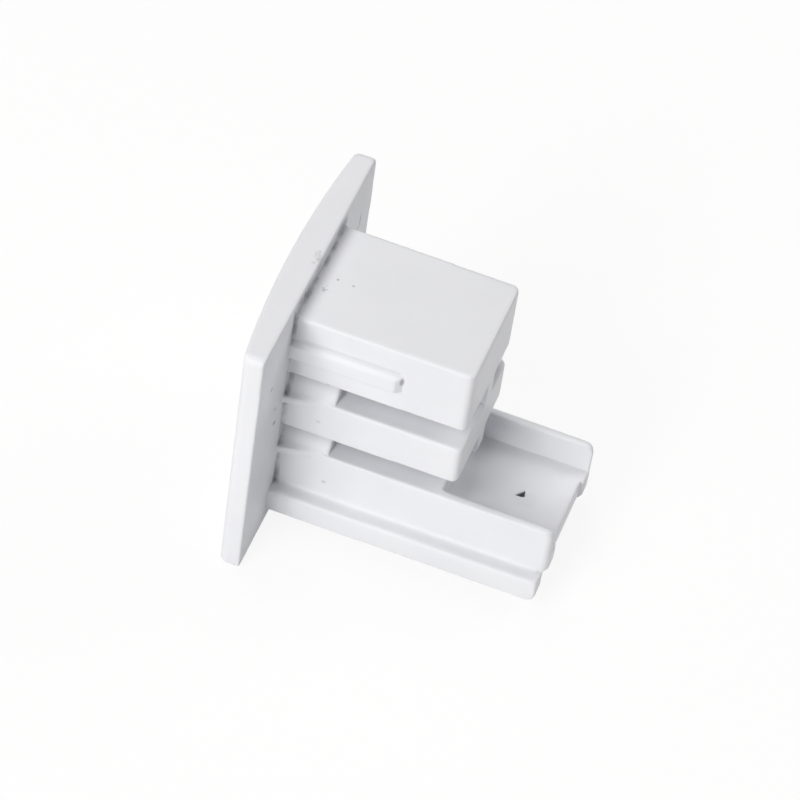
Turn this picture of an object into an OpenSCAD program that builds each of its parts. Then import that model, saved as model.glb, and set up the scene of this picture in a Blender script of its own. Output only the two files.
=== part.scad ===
// Track end cap: the white moulding that closes the open end of a four-wire lighting track.
// A bowed end plate carries a stepped plug, which slides into the track's hollow.
// All sizes are millimetres. X runs from the plate into the track, Y is across, Z is up.
// The origin is on the plate's seat face, at the middle of its lower edge.

/* [End plate] */
// Width of the plate
plate_w = 36; // [32:0.5:44]
// Thickness at the plate's two side edges
plate_edge_t = 2.5; // [1.8:0.1:4]
// Extra thickness in the middle, where the outer face bows out
plate_bow = 1.2; // [0.5:0.1:3]
// Radius of the plate's upper corners
plate_corner_r = 1.0; // [0.5:0.1:5]
// Radius of the plate's outer upright edges, seen from above
plate_edge_r = 1.0; // [0.2:0.1:1.4]
// Plate left showing under the plug's rails
margin_below = 1.95; // [0.5:0.05:4]
// Plate left showing over the plug's head
margin_above = 2.1; // [0.5:0.1:5]

/* [Plug] */
// Width of the plug where it leaves the plate
plug_w = 16; // [15:0.1:18]
// Draft of the plug's sides, in degrees a side
plug_draft = 0.4; // [0:0.1:1.5]
// Length of the head and of the fin under it
head_len = 21.6; // [17:0.1:26]
// Height of the head block
head_h = 9.25; // [7:0.05:12]
// Height of the fin
fin_h = 5.8; // [3:0.1:9]
// Height of the slot over the fin
slot_top_h = 3.3; // [2:0.1:5]
// Height of the slot under the fin
slot_low_h = 2.95; // [2:0.05:5]
// Radius of the free upright corners of head and fin
end_r = 0.9; // [0.4:0.1:2]

/* [Web and fillers] */
// Thickness of the web between the slots of the two sides
web_t = 2.5; // [1.5:0.1:5]
// Distance of the web's near face from the middle plane
web_off = 0.1; // [-1:0.05:1.5]
// Length of the fillers that close the slots beside the plate
filler_len = 6.1; // [3:0.1:10]
// Set-back of the fillers' lower edges from the plug's sides
filler_in = 0.3; // [0.2:0.1:1.5]
// How far a filler's face leans in towards its top
filler_lean = 2.0; // [0.3:0.1:4]

/* [Tray] */
// Length of the tray, from the plate
tray_len = 34.0; // [28:0.1:40]
// Length of the solid deck over the tray's root
deck_len = 19.9; // [10:0.1:21]
// Thickness of the tray's walls at the deck
wall_t = 1.2; // [0.8:0.05:2]
// Height of the walls over the floor
wall_h = 4.15; // [2.5:0.05:6]
// Thickness of the floor
floor_t = 2.8; // [1:0.1:4]
// Draft of the tray's hollow, in degrees a side
hollow_draft = 0.6; // [0:0.1:1.2]
// Radius of the walls' upper end corners, seen from the side
wall_end_r = 1.1; // [0.5:0.1:3]
// Radius of the tray's upright end corners, seen from above
tray_r = 0.9; // [0.3:0.1:0.9]
// Width of the shallow relief in the floor's free end
relief_w = 10; // [4:0.5:11]
// Depth of that relief
relief_deep = 0.45; // [0.2:0.05:1]

/* [Rails] */
// Height of the two rails under the tray
rail_h = 3.4; // [2:0.1:5]
// How far each rail stands out past the wall over it
rail_out = 2.0; // [0.6:0.1:3]
// How far each rail reaches in under the wall's end
rail_lap = 0.5; // [0.3:0.1:4]
// How far the rails stop short of the tray's end
rail_back = 0.5; // [0.3:0.1:3]
// Radius of the rails' lower end corners, seen from the side
rail_end_r = 1.2; // [0.4:0.1:1.8]

/* [Ribs and lips] */
// Length of the two ribs on the head's sides
rib_len = 13.1; // [6:0.1:16]
// Height of a rib at its root
rib_h = 2.7; // [1.5:0.1:4]
// How far a rib stands out
rib_out = 0.7; // [0.3:0.05:1.2]
// Height of the rib's underside over the head's underside
rib_up = 3.1; // [0.5:0.1:3.4]
// Length of the small lips beside the plate, which run out to nothing
lip_len = 3.9; // [2:0.1:6]
// Height of a lip
lip_h = 1.15; // [0.6:0.05:2]
// How far a lip stands out at the plate
lip_out = 0.8; // [0.2:0.05:1.2]
// Set-down of a lip under the edge of the step it stands at
lip_down = 0.15; // [0.1:0.05:0.6]

/* [Mould marks] */
// Side of the three-cornered gate mark in the tray's floor
gate_side = 1.2; // [0.6:0.1:2]
// Depth of the gate mark
gate_deep = 0.9; // [0.1:0.05:0.9]

/* [Hidden] */
$fn = 64;
eps = 0.02;
// Levels, counted up from the plate's lower edge
z_rail = margin_below;
z_slab = z_rail + rail_h;
z_floor = z_slab + floor_t;
z_deck = z_floor + wall_h;
z_fin = z_deck + slot_low_h;
z_slot = z_fin + fin_h;
z_head = z_slot + slot_top_h;
z_top = z_head + head_h;
plate_h = z_top + margin_above;
// Radius of the plate's bowed outer face
bow_r = (plate_w * plate_w / 4 + plate_bow * plate_bow) / (2 * plate_bow);
plate_t = plate_edge_t + plate_bow;
// Lean of the bowed face where it meets the plate's sides
bow_lean = asin(plate_w / 2 / bow_r);
// Middle of the open part of the tray's floor, where the gate mark is
gate_x = (deck_len + tray_len) / 2 + 0.85;
// Length of the rails, from the plate
rail_len = tray_len - rail_back;
// Distance of the rails' straight inner faces from the middle plane
rail_in = plug_w / 2 - tray_len * tan(plug_draft) - rail_lap;

// Half the plug's width at a place along it
function half_w(x) = plug_w / 2 - x * tan(plug_draft);

// Half the width of the tray's hollow at a place along it
function half_hollow(x) = half_w(deck_len) - wall_t + (x - deck_len) * tan(hollow_draft);

// Plan outline of a tapering bar with two round free corners
module tongue(len, half_root, half_end, r) {
    slope = atan((half_root - half_end) / len);
    cx = len - r;
    cy = half_end - r * (1 - sin(slope)) / cos(slope);
    polygon([
        [-eps, half_root],
        [cx + r * sin(slope), cy + r * cos(slope)],
        [len, cy],
        [len, -cy],
        [cx + r * sin(slope), -cy - r * cos(slope)],
        [-eps, -half_root]
    ]);
    for (s = [-1, 1]) {
        translate([cx, s * cy])
            circle(r = r);
    }
}

// One bar of the plug between two levels
module bar(len, low, high, r) {
    translate([0, 0, low])
        linear_extrude(height = high - low)
            tongue(len, half_w(0), half_w(len), r);
}

// Places a thing on the plug's far side: its x runs along the side, its y stands out of it
module on_side() {
    translate([0, half_w(0), 0])
        rotate([0, 0, -plug_draft])
            children();
}

// End plate: flat seat face, bowed outer face, rounded upper corners and outer edges
module plate() {
    difference() {
        intersection() {
            translate([bow_r - plate_t, 0, 0])
                cylinder(r = bow_r, h = plate_h, $fn = 360);
            rotate([90, 0, 90])
                translate([0, 0, -plate_t - 1])
                    linear_extrude(height = plate_t + 1)
                        plate_outline();
        }
        for (s = [0, 1]) {
            mirror([0, s, 0])
                edge_cut(plate_edge_r);
        }
    }
}

// What is cut off to round an outer upright edge of the plate, where the bow leans by bow_lean
module edge_cut(r) {
    cx = -plate_edge_t + r * (1 - sin(bow_lean)) / cos(bow_lean);
    cy = plate_w / 2 - r;
    translate([0, 0, -1])
        linear_extrude(height = plate_h + 2)
            difference() {
                polygon([
                    [cx, cy],
                    [cx - r * cos(bow_lean), cy + r * sin(bow_lean)],
                    [cx - 2 * r, cy + 2 * r],
                    [cx, cy + 2 * r]
                ]);
                translate([cx, cy])
                    circle(r = r);
            }
}

// Outline of the plate, seen along the plug
module plate_outline() {
    translate([-plate_w / 2, 0])
        square([plate_w, plate_h - plate_corner_r]);
    translate([-plate_w / 2 + plate_corner_r, 0])
        square([plate_w - 2 * plate_corner_r, plate_h]);
    for (s = [-1, 1]) {
        translate([s * (plate_w / 2 - plate_corner_r), plate_h - plate_corner_r])
            circle(r = plate_corner_r);
    }
}

// Web that joins head, fin and deck, with the fillers beside the plate
module core() {
    translate([-eps, web_off, z_deck - eps])
        cube([head_len + eps, web_t, z_head - z_deck + 2 * eps]);
    for (s = [0, 1]) {
        mirror([0, s, 0]) {
            filler(z_slot, z_head);
            filler(z_deck, z_fin);
        }
    }
}

// Filler of one slot beside the plate, between two levels: its face leans in towards the top
module filler(low, high) {
    edge = half_w(0) - filler_in;
    translate([-eps, 0, 0])
        rotate([90, 0, 90])
            linear_extrude(height = filler_len + eps)
                polygon([
                    [-0.5, low - eps],
                    [edge, low - eps],
                    [edge - filler_lean, high + eps],
                    [-0.5, high + eps]
                ]);
}

// Tray: floor and walls, a solid deck at its root, round wall ends, a relief and a gate mark in its floor
module tray() {
    difference() {
        bar(tray_len, z_slab, z_deck, tray_r);
        translate([0, 0, z_floor])
            linear_extrude(height = wall_h + 1)
                polygon([
                    [deck_len, half_hollow(deck_len)],
                    [tray_len + 1, half_hollow(tray_len + 1)],
                    [tray_len + 1, -half_hollow(tray_len + 1)],
                    [deck_len, -half_hollow(deck_len)]
                ]);
        translate([tray_len - relief_deep, -relief_w / 2, z_slab - 1])
            cube([relief_deep + 1, relief_w, floor_t + 2]);
        corner_cut(tray_len, z_deck, wall_end_r, 1);
        gate_mark();
    }
}

// What is cut off to round an end corner, seen from the side: dir is 1 for an upper corner, -1 for a lower one
module corner_cut(x, z, r, dir) {
    translate([x - r, 0, z - dir * r])
        difference() {
            translate([0, -plate_w / 2, dir > 0 ? 0 : -r - 1])
                cube([r + 1, plate_w, r + 1]);
            rotate([90, 0, 0])
                cylinder(r = r, h = plate_w + 2, center = true);
        }
}

// Three-cornered gate mark in the tray's floor
module gate_mark() {
    translate([gate_x, web_off, z_floor - gate_deep])
        linear_extrude(height = gate_deep + 1)
            polygon([
                [-gate_side * 0.5, -gate_side * 0.25],
                [gate_side * 0.37, -gate_side * 0.2],
                [gate_side * 0.2, gate_side * 0.6]
            ]);
}

// One rail: a square bar along the tray's lower edge, set outwards, with a round lower end corner
module rail() {
    difference() {
        translate([0, 0, z_rail])
            linear_extrude(height = rail_h + eps)
                polygon([
                    [-eps, rail_in],
                    [rail_len, rail_in],
                    [rail_len, half_w(rail_len) + rail_out],
                    [-eps, half_w(0) + rail_out]
                ]);
        corner_cut(rail_len, z_rail, rail_end_r, -1);
    }
}

// One rib on the head's side: sloped on top, run out at its free end
module rib() {
    on_side()
        intersection() {
            translate([-eps, 0, 0])
                rotate([90, 0, 90])
                    linear_extrude(height = rib_len + 1)
                        polygon([
                            [-0.3, z_head + rib_up],
                            [rib_out, z_head + rib_up],
                            [rib_out, z_head + rib_up + rib_h - rib_out],
                            [0, z_head + rib_up + rib_h],
                            [-0.3, z_head + rib_up + rib_h]
                        ]);
            translate([0, 0, z_head])
                linear_extrude(height = head_h)
                    polygon([
                        [-eps, -0.3],
                        [rib_len + 0.4, -0.3],
                        [rib_len + 0.4, 0],
                        [rib_len - 0.4, rib_out + eps],
                        [-eps, rib_out + eps]
                    ]);
        }
}

// One lip beside the plate, just under the edge of a step, run out along the side
module lip(step) {
    on_side()
        translate([0, 0, step - lip_down - lip_h])
            linear_extrude(height = lip_h)
                polygon([
                    [-eps, -0.3],
                    [lip_len, -0.3],
                    [lip_len, 0.08],
                    [-eps, lip_out]
                ]);
}

// The whole moulding
module end_cap() {
    color([0.93, 0.93, 0.93])
    union() {
        plate();
        bar(head_len, z_head, z_top, end_r);
        bar(head_len, z_fin, z_slot, end_r);
        core();
        tray();
        for (s = [0, 1]) {
            mirror([0, s, 0]) {
                rail();
                rib();
                lip(z_slot);
                lip(z_deck);
            }
        }
    }
}

end_cap();
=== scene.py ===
# %% [markdown]
# Track end cap
# This lesson dresses one moulded end cap for a lighting track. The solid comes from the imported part,
# and the script softens its edges, gives it the satin white plastic of the real moulding, and lights it.

# %% Load the frame
import math

import bmesh
import bpy
import numpy as np
from mathutils import Matrix, Vector


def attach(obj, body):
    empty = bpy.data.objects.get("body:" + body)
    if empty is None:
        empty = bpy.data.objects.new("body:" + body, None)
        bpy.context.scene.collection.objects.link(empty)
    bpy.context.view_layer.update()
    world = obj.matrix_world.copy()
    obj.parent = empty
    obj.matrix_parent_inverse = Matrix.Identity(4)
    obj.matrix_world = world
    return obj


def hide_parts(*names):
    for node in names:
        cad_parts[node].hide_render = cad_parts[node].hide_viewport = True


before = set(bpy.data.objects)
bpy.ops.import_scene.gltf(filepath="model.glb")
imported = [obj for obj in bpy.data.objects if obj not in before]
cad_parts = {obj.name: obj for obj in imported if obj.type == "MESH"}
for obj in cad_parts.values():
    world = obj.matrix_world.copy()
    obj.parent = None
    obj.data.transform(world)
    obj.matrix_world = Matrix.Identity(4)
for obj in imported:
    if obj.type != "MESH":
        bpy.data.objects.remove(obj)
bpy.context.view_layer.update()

MM = 0.001
print("nodes:", sorted(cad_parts))

# %% [markdown]
# The moulding
# A mould is cut from steel with tools that leave small radii, so no edge of a real moulding is sharp.
# The solid is copied, its doubles are merged and its flat faces are joined, so only true edges are left.

# %% Copy and merge the solid
SAME_PLACE = 0.002 * MM
SAME_PLANE = 0.01

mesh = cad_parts["end_cap"].data.copy()
mesh.name = "cap_body"
bm = bmesh.new()
bm.from_mesh(mesh)
bmesh.ops.remove_doubles(bm, verts=bm.verts, dist=SAME_PLACE)
bmesh.ops.dissolve_limit(bm, angle_limit=SAME_PLANE, verts=bm.verts, edges=bm.edges)
bmesh.ops.recalc_face_normals(bm, faces=bm.faces)
print("merged:", len(bm.verts), "corners,", len(bm.faces), "faces")

# %% [markdown]
# An even grid
# A solid has long faces with few corners, so there is nothing near an edge that could be moved to round it.
# The solid is rebuilt from an even grid of small faces that still follows its edges.

# %% Rebuild on an even grid
GRID_DEPTH = 8
GRID_SHARE = 0.95


def finished(obj):
    """The mesh of an object with its modifiers applied."""
    return bpy.data.meshes.new_from_object(obj.evaluated_get(bpy.context.evaluated_depsgraph_get()))


bm.to_mesh(mesh)
bm.free()
cap = bpy.data.objects.new("cap_body", mesh)
bpy.context.scene.collection.objects.link(cap)
grid = cap.modifiers.new("grid", "REMESH")
grid.mode = "SHARP"
grid.octree_depth = GRID_DEPTH
grid.scale = GRID_SHARE
grid.sharpness = 1.0
grid.use_remove_disconnected = False
mesh = finished(cap)
cap.modifiers.remove(grid)
cap.data = mesh
print("grid:", len(mesh.polygons), "faces")

# %% [markdown]
# Soft edges
# The polished steel of a mould gives every outside edge a small round, while most inside corners stay tight.
# The corners that stand out are moved towards their neighbours a few times, so each edge softens by a few
# tenths of a millimetre and flat faces stay flat. Ribs and the gate mark are small and get fewer rounds,
# the rails get more, and the feet of the fillers and walls are filled to a soft fillet.

# %% Where the edges differ
# Each box gives the reach along X, across to either side, and along Z, in millimetres.
RIB = ((-10, 14.1), (8.0, 50), (27, 30.6))
GATE_MARK = ((26.3, 29.7), (-1, 2), (-10, 8.4))
RAIL_EDGE = ((0.5, 34.4), (8.6, 50), (4.2, 5.6))
LOW_FILLER_FOOT = ((0.4, 5.6), (6.8, 8.25), (11.6, 13.4))
HIGH_FILLER_FOOT = ((0.4, 5.6), (6.8, 8.25), (20.4, 22.2))
WALL_FOOT = ((0.6, 33.0), (7.6, 8.7), (5.0, 6.1))


def corners_of(mesh):
    """The places of a mesh's corners."""
    at = np.empty(len(mesh.vertices) * 3)
    mesh.vertices.foreach_get("co", at)
    return at.reshape(-1, 3)


def inside(at, *boxes):
    """True for the corners that lie in any of the boxes, on either side of the cap."""
    x, y, z = (at / MM).T
    found = np.zeros(len(at), dtype=bool)
    for box in boxes:
        held = np.ones(len(at), dtype=bool)
        for values, (low, high) in zip((x, abs(y), z), box):
            held &= (values > low) & (values < high)
        found |= held
    return found


at = corners_of(mesh)
print("corners on ribs and gate mark:", inside(at, RIB, GATE_MARK).sum())
print("corners at the fillets:", inside(at, LOW_FILLER_FOOT, HIGH_FILLER_FOOT, WALL_FOOT).sum())

# %% Ease what stands out
ROUNDS = 14
SMALL_ROUNDS = 7
SOFT_ROUNDS = 30
EASE = 0.5
RISE = 0.004 * MM
KEPT_SHARE = 0.31


def standing_out(mesh):
    """The corners' places, and a mask of those that lie outside the mean of their neighbours."""
    at = corners_of(mesh)
    count = len(at)
    ways = np.empty(count * 3, dtype=np.float32)
    mesh.vertex_normals.foreach_get("vector", ways)
    ways = ways.reshape(-1, 3)
    ends = np.empty(len(mesh.edges) * 2, dtype=np.int32)
    mesh.edges.foreach_get("vertices", ends)
    ends = ends.reshape(-1, 2)
    total = np.zeros((count, 3))
    number = np.zeros(count)
    for near, far in ((0, 1), (1, 0)):
        np.add.at(total, ends[:, near], at[ends[:, far]])
        np.add.at(number, ends[:, near], 1)
    rise = ((at - total / number[:, None]) * ways).sum(1)
    return at, rise > RISE


for turn in range(SOFT_ROUNDS):
    at, out = standing_out(mesh)
    if turn >= SMALL_ROUNDS:
        out &= ~inside(at, RIB, GATE_MARK)
    if turn >= ROUNDS:
        out &= inside(at, RAIL_EDGE)
    out |= inside(at, LOW_FILLER_FOOT, HIGH_FILLER_FOOT, WALL_FOOT)
    bm = bmesh.new()
    bm.from_mesh(mesh)
    bm.verts.ensure_lookup_table()
    bmesh.ops.smooth_vert(
        bm, verts=[bm.verts[i] for i in np.flatnonzero(out)], factor=EASE,
        use_axis_x=True, use_axis_y=True, use_axis_z=True,
    )
    bm.to_mesh(mesh)
    bm.free()
thin = cap.modifiers.new("thin", "DECIMATE")
thin.ratio = KEPT_SHARE
mesh = finished(cap)
cap.modifiers.remove(thin)
cap.data = mesh
mesh.name = "cap_body"
mesh.calc_loop_triangles()
print("eased and thinned:", len(mesh.loop_triangles), "triangles")

# %% [markdown]
# Crisp inside corners
# Smooth shading spreads light over a corner as if it were round. Where two faces still meet at a clear angle,
# the edge between them is marked as crisp, so a tight inside corner keeps its dark line.

# %% Mark the crisp edges
CREASE = math.radians(32)

bm = bmesh.new()
bm.from_mesh(mesh)
for face in bm.faces:
    face.smooth = True
crisp = 0
for edge in bm.edges:
    edge.smooth = edge.calc_face_angle(0) < CREASE
    crisp += not edge.smooth
bm.to_mesh(mesh)
bm.free()
print("crisp edges:", crisp)

# %% [markdown]
# White plastic
# The cap is pigmented plastic with a satin skin and a slightly cool white. The colour of a moulding drifts
# where the melt cooled at different speeds, so a soft cloud of noise moves it by a few hundredths. The skin
# of the mould was blasted fine, so a tiny grain lifts the surface by a few thousandths of a millimetre.

# %% Plastic
PLASTIC_IOR = 1.49
DULL_WHITE = (0.776, 0.785, 0.822, 1)
CLEAR_WHITE = (0.811, 0.82, 0.852, 1)
SMOOTHEST, ROUGHEST = 0.40, 0.54
GRAIN_HEIGHT = 0.01 * MM
GRAIN_STRENGTH = 0.25

plastic = bpy.data.materials.new("white_plastic")
plastic.use_nodes = True
nodes = plastic.node_tree.nodes
links = plastic.node_tree.links
shader = nodes["Principled BSDF"]
shader.inputs["IOR"].default_value = PLASTIC_IOR
place = nodes.new("ShaderNodeTexCoord").outputs["Object"]


def noise(scale, detail):
    """A noise over the object's own coordinates, with features of about 1 / scale metres."""
    made = nodes.new("ShaderNodeTexNoise")
    made.inputs["Scale"].default_value = scale
    made.inputs["Detail"].default_value = detail
    links.new(place, made.inputs["Vector"])
    return made.outputs["Fac"]


tone = nodes.new("ShaderNodeValToRGB")
tone.color_ramp.elements[0].position = 0.3
tone.color_ramp.elements[0].color = DULL_WHITE
tone.color_ramp.elements[1].position = 0.7
tone.color_ramp.elements[1].color = CLEAR_WHITE
links.new(noise(90, 4), tone.inputs["Fac"])
sheen = nodes.new("ShaderNodeMapRange")
sheen.inputs["To Min"].default_value = SMOOTHEST
sheen.inputs["To Max"].default_value = ROUGHEST
links.new(noise(240, 3), sheen.inputs["Value"])
links.new(sheen.outputs["Result"], shader.inputs["Roughness"])
grain = nodes.new("ShaderNodeBump")
grain.inputs["Strength"].default_value = GRAIN_STRENGTH
grain.inputs["Distance"].default_value = GRAIN_HEIGHT
links.new(noise(2600, 2), grain.inputs["Height"])
links.new(grain.outputs["Normal"], shader.inputs["Normal"])
print("plastic:", len(nodes), "nodes")

# %% [markdown]
# Marks of use, and a painted shadow
# The cap isn't new. It has a few dark specks, some broken smudges and a thin dark line on the seat face, and
# a painted shadow lies past the rib's free end. Each mark is a soft spot around a place on the object, and a
# fine noise breaks up the smudges.

# %% Numbers for the marks
CORE, RIM = 0.45, 1.1


def joined(kind, *ends):
    """A vector or number node with links or constants on its inputs."""
    on_vectors = kind in ("SUBTRACT", "DIVIDE", "LENGTH")
    made = nodes.new("ShaderNodeVectorMath" if on_vectors else "ShaderNodeMath")
    made.operation = kind
    for socket, end in zip(made.inputs, ends):
        if isinstance(end, bpy.types.NodeSocket):
            links.new(end, socket)
        else:
            socket.default_value = end
    return made.outputs["Value"] if kind == "LENGTH" else made.outputs[0]


def combined(kind, first, *others):
    """Several numbers joined one after the other, as their product or their largest."""
    for other in others:
        first = joined(kind, first, other)
    return first


def fading(value, start, stop, full=1):
    """A number that falls from full to 0 while value goes from start to stop."""
    made = nodes.new("ShaderNodeMapRange")
    made.interpolation_type = "SMOOTHSTEP"
    made.inputs["From Min"].default_value = start
    made.inputs["From Max"].default_value = stop
    made.inputs["To Min"].default_value = full
    made.inputs["To Max"].default_value = 0
    links.new(value, made.inputs["Value"])
    return made.outputs["Result"]


def spot(middle, reach, full=1):
    """A soft mark around middle, reaching reach along each axis, in millimetres."""
    away = joined("SUBTRACT", place, tuple(v * MM for v in middle))
    away = joined("DIVIDE", away, tuple(v * MM for v in reach))
    return fading(joined("LENGTH", away), CORE, RIM, full)


print("marks fade from", CORE, "to", RIM, "of their reach")

# %% Specks, smudges, a dark line and a painted shadow
dust_on_head = [
    spot((2.3, -0.45, 33.6), (0.2, 0.2, 0.3), 0.55),
    spot((4.25, -0.6, 33.6), (0.2, 0.16, 0.3), 0.5),
]
specks_on_seat = [
    spot((0, -5.0, 34.5), (0.3, 0.5, 0.6), 0.9),
    spot((0, -11.05, 18.65), (0.3, 0.4, 0.32)),
    spot((0, -13.75, 27.2), (0.3, 0.5, 0.22), 0.7),
    spot((0, -11.4, 21.4), (0.3, 0.36, 0.28), 0.6),
]
side_specks_and_rib_shadow = [
    spot((6.0, -7.95, 7.9), (0.35, 0.3, 0.25), 0.3),
    spot((4.85, -7.95, 24.5), (0.35, 0.3, 0.22), 0.35),
    spot((4.35, -8.0, 17.8), (0.35, 0.3, 0.25), 0.2),
    # This spot just past the rib's free end is the rib's painted shadow, not a speck.
    spot((13.4, -8.05, 29.2), (0.35, 0.35, 0.7), 0.55),
]
stain_by_gate = spot((28.5, -0.6, 8.15), (1.7, 1.5, 0.6), 0.06)
# A thin dark line on the seat face.
dark_line_on_seat = [
    spot((0, 14.2, 28.6), (0.3, 0.2, 1.3), 0.75),
    spot((0, 13.6, 27.6), (0.3, 0.6, 0.2), 0.55),
]
smudges = [
    spot((1.3, -2.35, 33.6), (1.1, 0.8, 0.3)),
    spot((-0.8, 0, 35.6), (0.9, 1.6, 0.4), 0.8),
    spot((0.4, 0.5, 33.7), (0.7, 2.2, 0.3), 0.8),
]
specks_and_shadow = dust_on_head + specks_on_seat + side_specks_and_rib_shadow + [stain_by_gate] + dark_line_on_seat
broken = fading(noise(1100, 4), 0.66, 0.5, 0.5)
marks_and_shadow = combined("MAXIMUM", *specks_and_shadow, joined("MULTIPLY", combined("MAXIMUM", *smudges), broken))
print("marks:", len(specks_and_shadow), "specks and", len(smudges), "smudges")

# %% [markdown]
# Painted shade and dirt in the corners
# The corner where the plug leaves the plate is painted darker, as painted shade with some patchy dirt.
# Painted shade also lies on the head beside the plate, in the slots under the head and the fin, over the rib
# and in the pit that the gate left. Each is a product of fades along the axes, and all of them end at the
# seat face, so the plate's outer face stays clean.

# %% Painted shade and dirt beside the plate
PLATE_SHADOW_END = 2.0

axes = nodes.new("ShaderNodeSeparateXYZ")
links.new(place, axes.inputs["Vector"])
along, across, up_from_edge = (axes.outputs[name] for name in "XYZ")


def fading_mm(value, start, stop, full=1):
    """A fade along a length in millimetres."""
    return fading(value, start * MM, stop * MM, full)


# The corner round the plug beside the plate is painted darker: painted shade, with some patchy dirt.
root = fading_mm(joined("ABSOLUTE", along), 0.1, 0.75)
beside = fading_mm(joined("ABSOLUTE", across), 8.05, 8.9)
under_rim = fading_mm(up_from_edge, 34.6, 35.7)
over_rails = fading_mm(up_from_edge, 5.6, 5.0)
patchy = fading(noise(420, 4), 0.72, 0.3, 0.75)
root_shade_and_dirt = combined("MULTIPLY", root, beside, under_rim, over_rails, patchy)
# A faint painted shadow of the plate lies on the head over its first two millimetres from the seat.
plate_shadow_paint = fading_mm(along, 0.4, PLATE_SHADOW_END, 0.2)
over_slots = fading_mm(up_from_edge, 24.7, 24.2)
plate_shadow_paint = combined("MULTIPLY", plate_shadow_paint, over_slots, beside, under_rim)
print("dirt beside the plate reaches", PLATE_SHADOW_END, "mm along the head")

# %% Dirt in the slots, over the rib and in the gate mark
WHOLE_LENGTH = 60

# A painted shadow of the head and of the fin lies on the upper parts of the fillers, under the overhang.
shade_under_head = spot((0, -6.4, 24.3), (WHOLE_LENGTH, 1.6, 2.4), 0.25)
shade_under_fin = spot((0, -6.4, 15.2), (WHOLE_LENGTH, 1.6, 2.4), 0.25)
on_fillers = fading_mm(along, 6.0, 6.2)
shade_in_slots = joined("MULTIPLY", joined("MAXIMUM", shade_under_head, shade_under_fin), on_fillers)
# A thin line of painted shade lies in the corner over the rib.
shade_over_rib = spot((6.4, -8.0, 30.2), (WHOLE_LENGTH, 0.42, 0.42), 0.14)
shade_over_rib = joined("MULTIPLY", shade_over_rib, fading_mm(along, 12.9, 13.3))
inside_seat = fading_mm(along, -0.1, -0.5)
# The painted shade beside the plate, in the slots and over the rib ends at the seat face.
crease_shade = joined("MULTIPLY", combined("MAXIMUM", shade_over_rib, shade_in_slots, plate_shadow_paint), inside_seat)
# Inside the pit that the gate left, the plastic is painted dark as painted shade.
below_floor = fading_mm(up_from_edge, 7.75, 8.12, 0.8)
pit_shade = joined("MULTIPLY", below_floor, spot((27.8, 0.1, 7.8), (1.6, 1.6, 1.6)))
# The dirt and marks are joined here with the painted shade.
dirt_and_shade = combined("MAXIMUM", marks_and_shadow, root_shade_and_dirt, pit_shade, crease_shade)
print("dirt:", len(nodes), "nodes so far")

# %% Lay the dirt and the painted shade on the plastic
# One dark colour serves for the dirt and for the painted shade.
DIRT_AND_SHADE_TONE = (0.16, 0.16, 0.18, 1)

skin = nodes.new("ShaderNodeMix")
skin.data_type = "RGBA"
amount, clean, darkened = [socket for socket in skin.inputs if socket.enabled]
links.new(dirt_and_shade, amount)
links.new(tone.outputs["Color"], clean)
darkened.default_value = DIRT_AND_SHADE_TONE
result = [socket for socket in skin.outputs if socket.enabled][0]
links.new(result, shader.inputs["Base Color"])
mesh.materials.clear()
mesh.materials.append(plastic)
print("skin:", len(nodes), "nodes in all")

# %% [markdown]
# One piece
# The cap is moulded in one shot, so one dressed piece stands in for the one solid and moves with it.

# %% Hand the cap over
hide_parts("end_cap")
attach(cap, "root")
print("handed over:", cap.name)

# %% [markdown]
# Floor
# The photo shows the cap cut out on plain white. The floor here is white paper, and the camera sees most of
# it as glowing white, so that only a faint trace of the cap's shadow is left on it.

# %% Paper floor
SHADE = 0.12
HALF_FLOOR = 3
PAPER = (0.85, 0.85, 0.85, 1)
WHITE = (1, 1, 1, 1)


def seen_rays(tree):
    """1 for the rays by which the floor or the backdrop is seen, straight or in a reflection."""
    path = tree.nodes.new("ShaderNodeLightPath")
    total = path.outputs["Is Camera Ray"]
    for name in ("Is Glossy Ray", "Is Transmission Ray"):
        either = tree.nodes.new("ShaderNodeMath")
        either.operation = "MAXIMUM"
        tree.links.new(total, either.inputs[0])
        tree.links.new(path.outputs[name], either.inputs[1])
        total = either.outputs["Value"]
    return total


floor_mesh = bpy.data.meshes.new("floor")
bm = bmesh.new()
bmesh.ops.create_grid(bm, x_segments=1, y_segments=1, size=HALF_FLOOR)
bm.to_mesh(floor_mesh)
bm.free()
floor = bpy.data.objects.new("floor", floor_mesh)
bpy.context.scene.collection.objects.link(floor)
paper = bpy.data.materials.new("paper")
paper.use_nodes = True
tree = paper.node_tree
matt = tree.nodes["Principled BSDF"]
matt.inputs["Base Color"].default_value = PAPER
matt.inputs["Roughness"].default_value = 0.9
bright = tree.nodes.new("ShaderNodeBsdfDiffuse")
bright.inputs["Color"].default_value = WHITE
glow = tree.nodes.new("ShaderNodeEmission")
glow.inputs["Strength"].default_value = 1.0
veil = tree.nodes.new("ShaderNodeMixShader")
veil.inputs["Fac"].default_value = SHADE
tree.links.new(glow.outputs["Emission"], veil.inputs[1])
tree.links.new(bright.outputs["BSDF"], veil.inputs[2])
seen = tree.nodes.new("ShaderNodeMixShader")
tree.links.new(seen_rays(tree), seen.inputs["Fac"])
tree.links.new(matt.outputs["BSDF"], seen.inputs[1])
tree.links.new(veil.outputs["Shader"], seen.inputs[2])
tree.links.new(seen.outputs["Shader"], tree.nodes["Material Output"].inputs["Surface"])
floor_mesh.materials.append(paper)
print("floor:", floor_mesh.vertices[0].co[:], "to", floor_mesh.vertices[3].co[:])

# %% [markdown]
# Light
# Soft lamps stand around the cap as in a light tent. Those at the front and left are lower and stronger, so
# the near sides come out brightest, and the plate shades the plug's first few millimetres. The tent's own
# light is dim, and only where it is seen it is white.

# %% Tent
TENT_LIGHT = 0.094

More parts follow.
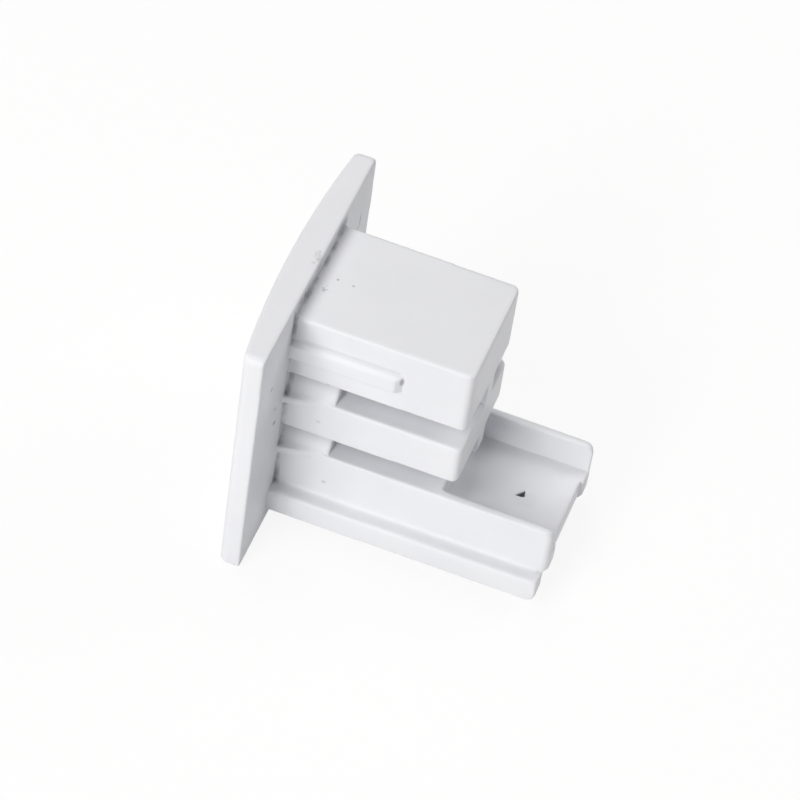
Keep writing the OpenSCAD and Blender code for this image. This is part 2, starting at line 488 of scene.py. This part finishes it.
world = bpy.data.worlds.new("tent")
bpy.context.scene.world = world
world.use_nodes = True
tree = world.node_tree
dim = tree.nodes["Background"]
dim.inputs["Color"].default_value = WHITE
dim.inputs["Strength"].default_value = TENT_LIGHT
white = tree.nodes.new("ShaderNodeBackground")
white.inputs["Color"].default_value = WHITE
white.inputs["Strength"].default_value = 1.0
seen = tree.nodes.new("ShaderNodeMixShader")
tree.links.new(seen_rays(tree), seen.inputs["Fac"])
tree.links.new(dim.outputs["Background"], seen.inputs[1])
tree.links.new(white.outputs["Background"], seen.inputs[2])
tree.links.new(seen.outputs["Shader"], tree.nodes["World Output"].inputs["Surface"])
print("tent:", TENT_LIGHT)

# %% Lamps
MIDDLE = Vector((12, 0, 17)) * MM
LAMP_AWAY = 0.9
LAMP_COLOUR = (1, 0.99, 0.972)
SMALL_LAMP = 0.3
LARGE_LAMP = 0.45


def lamp_at(name, azimuth, elevation, size, power):
    """A soft square lamp on a dome around the cap, turned to its middle, in degrees, metres and watts."""
    a, e = math.radians(azimuth), math.radians(elevation)
    way = Vector((math.cos(a) * math.cos(e), math.sin(a) * math.cos(e), math.sin(e)))
    data = bpy.data.lights.new(name, "AREA")
    data.size = size
    data.energy = power
    data.color = LAMP_COLOUR
    lamp = bpy.data.objects.new(name, data)
    bpy.context.scene.collection.objects.link(lamp)
    lamp.location = MIDDLE + way * LAMP_AWAY
    lamp.rotation_euler = (-way).to_track_quat("-Z", "Y").to_euler()
    return power


total = sum((
    lamp_at("key_low", 255, 25, SMALL_LAMP, 2.87),
    lamp_at("key_high", 255, 55, SMALL_LAMP, 0.9),
    lamp_at("left", 235, 40, SMALL_LAMP, 1.9),
    lamp_at("front_low", 270, 15, LARGE_LAMP, 0.99),
    lamp_at("back_left", 135, 65, LARGE_LAMP, 2.27),
    lamp_at("back_right", 45, 40, LARGE_LAMP, 2.18),
))
print("lamps:", round(total, 2), "W")

# %% [markdown]
# Camera
# The photo looks down on the cap from its near side and its open end, through a long lens.

# %% Camera
EYE = Vector((86.79, -315.12, 381.35)) * MM
AHEAD = Vector((-0.15427, 0.6463, -0.74733))
UP = Vector((-0.32733, 0.68023, 0.65585))
SENSOR_WIDTH = 36
FOCAL_LENGTH = 189
NEAREST = 0.05

right = AHEAD.cross(UP).normalized()
up = right.cross(AHEAD).normalized()
cam_data = bpy.data.cameras.new("camera")
cam_data.sensor_width = SENSOR_WIDTH
cam_data.lens = FOCAL_LENGTH
cam_data.clip_start = NEAREST
camera = bpy.data.objects.new("camera", cam_data)
bpy.context.scene.collection.objects.link(camera)
turned = Matrix((right, up, -AHEAD.normalized())).transposed()
camera.matrix_world = Matrix.Translation(EYE) @ turned.to_4x4()
bpy.context.scene.camera = camera
bpy.context.scene.view_settings.view_transform = "Standard"
print("camera:", round((EYE - MIDDLE).length, 3), "m away")
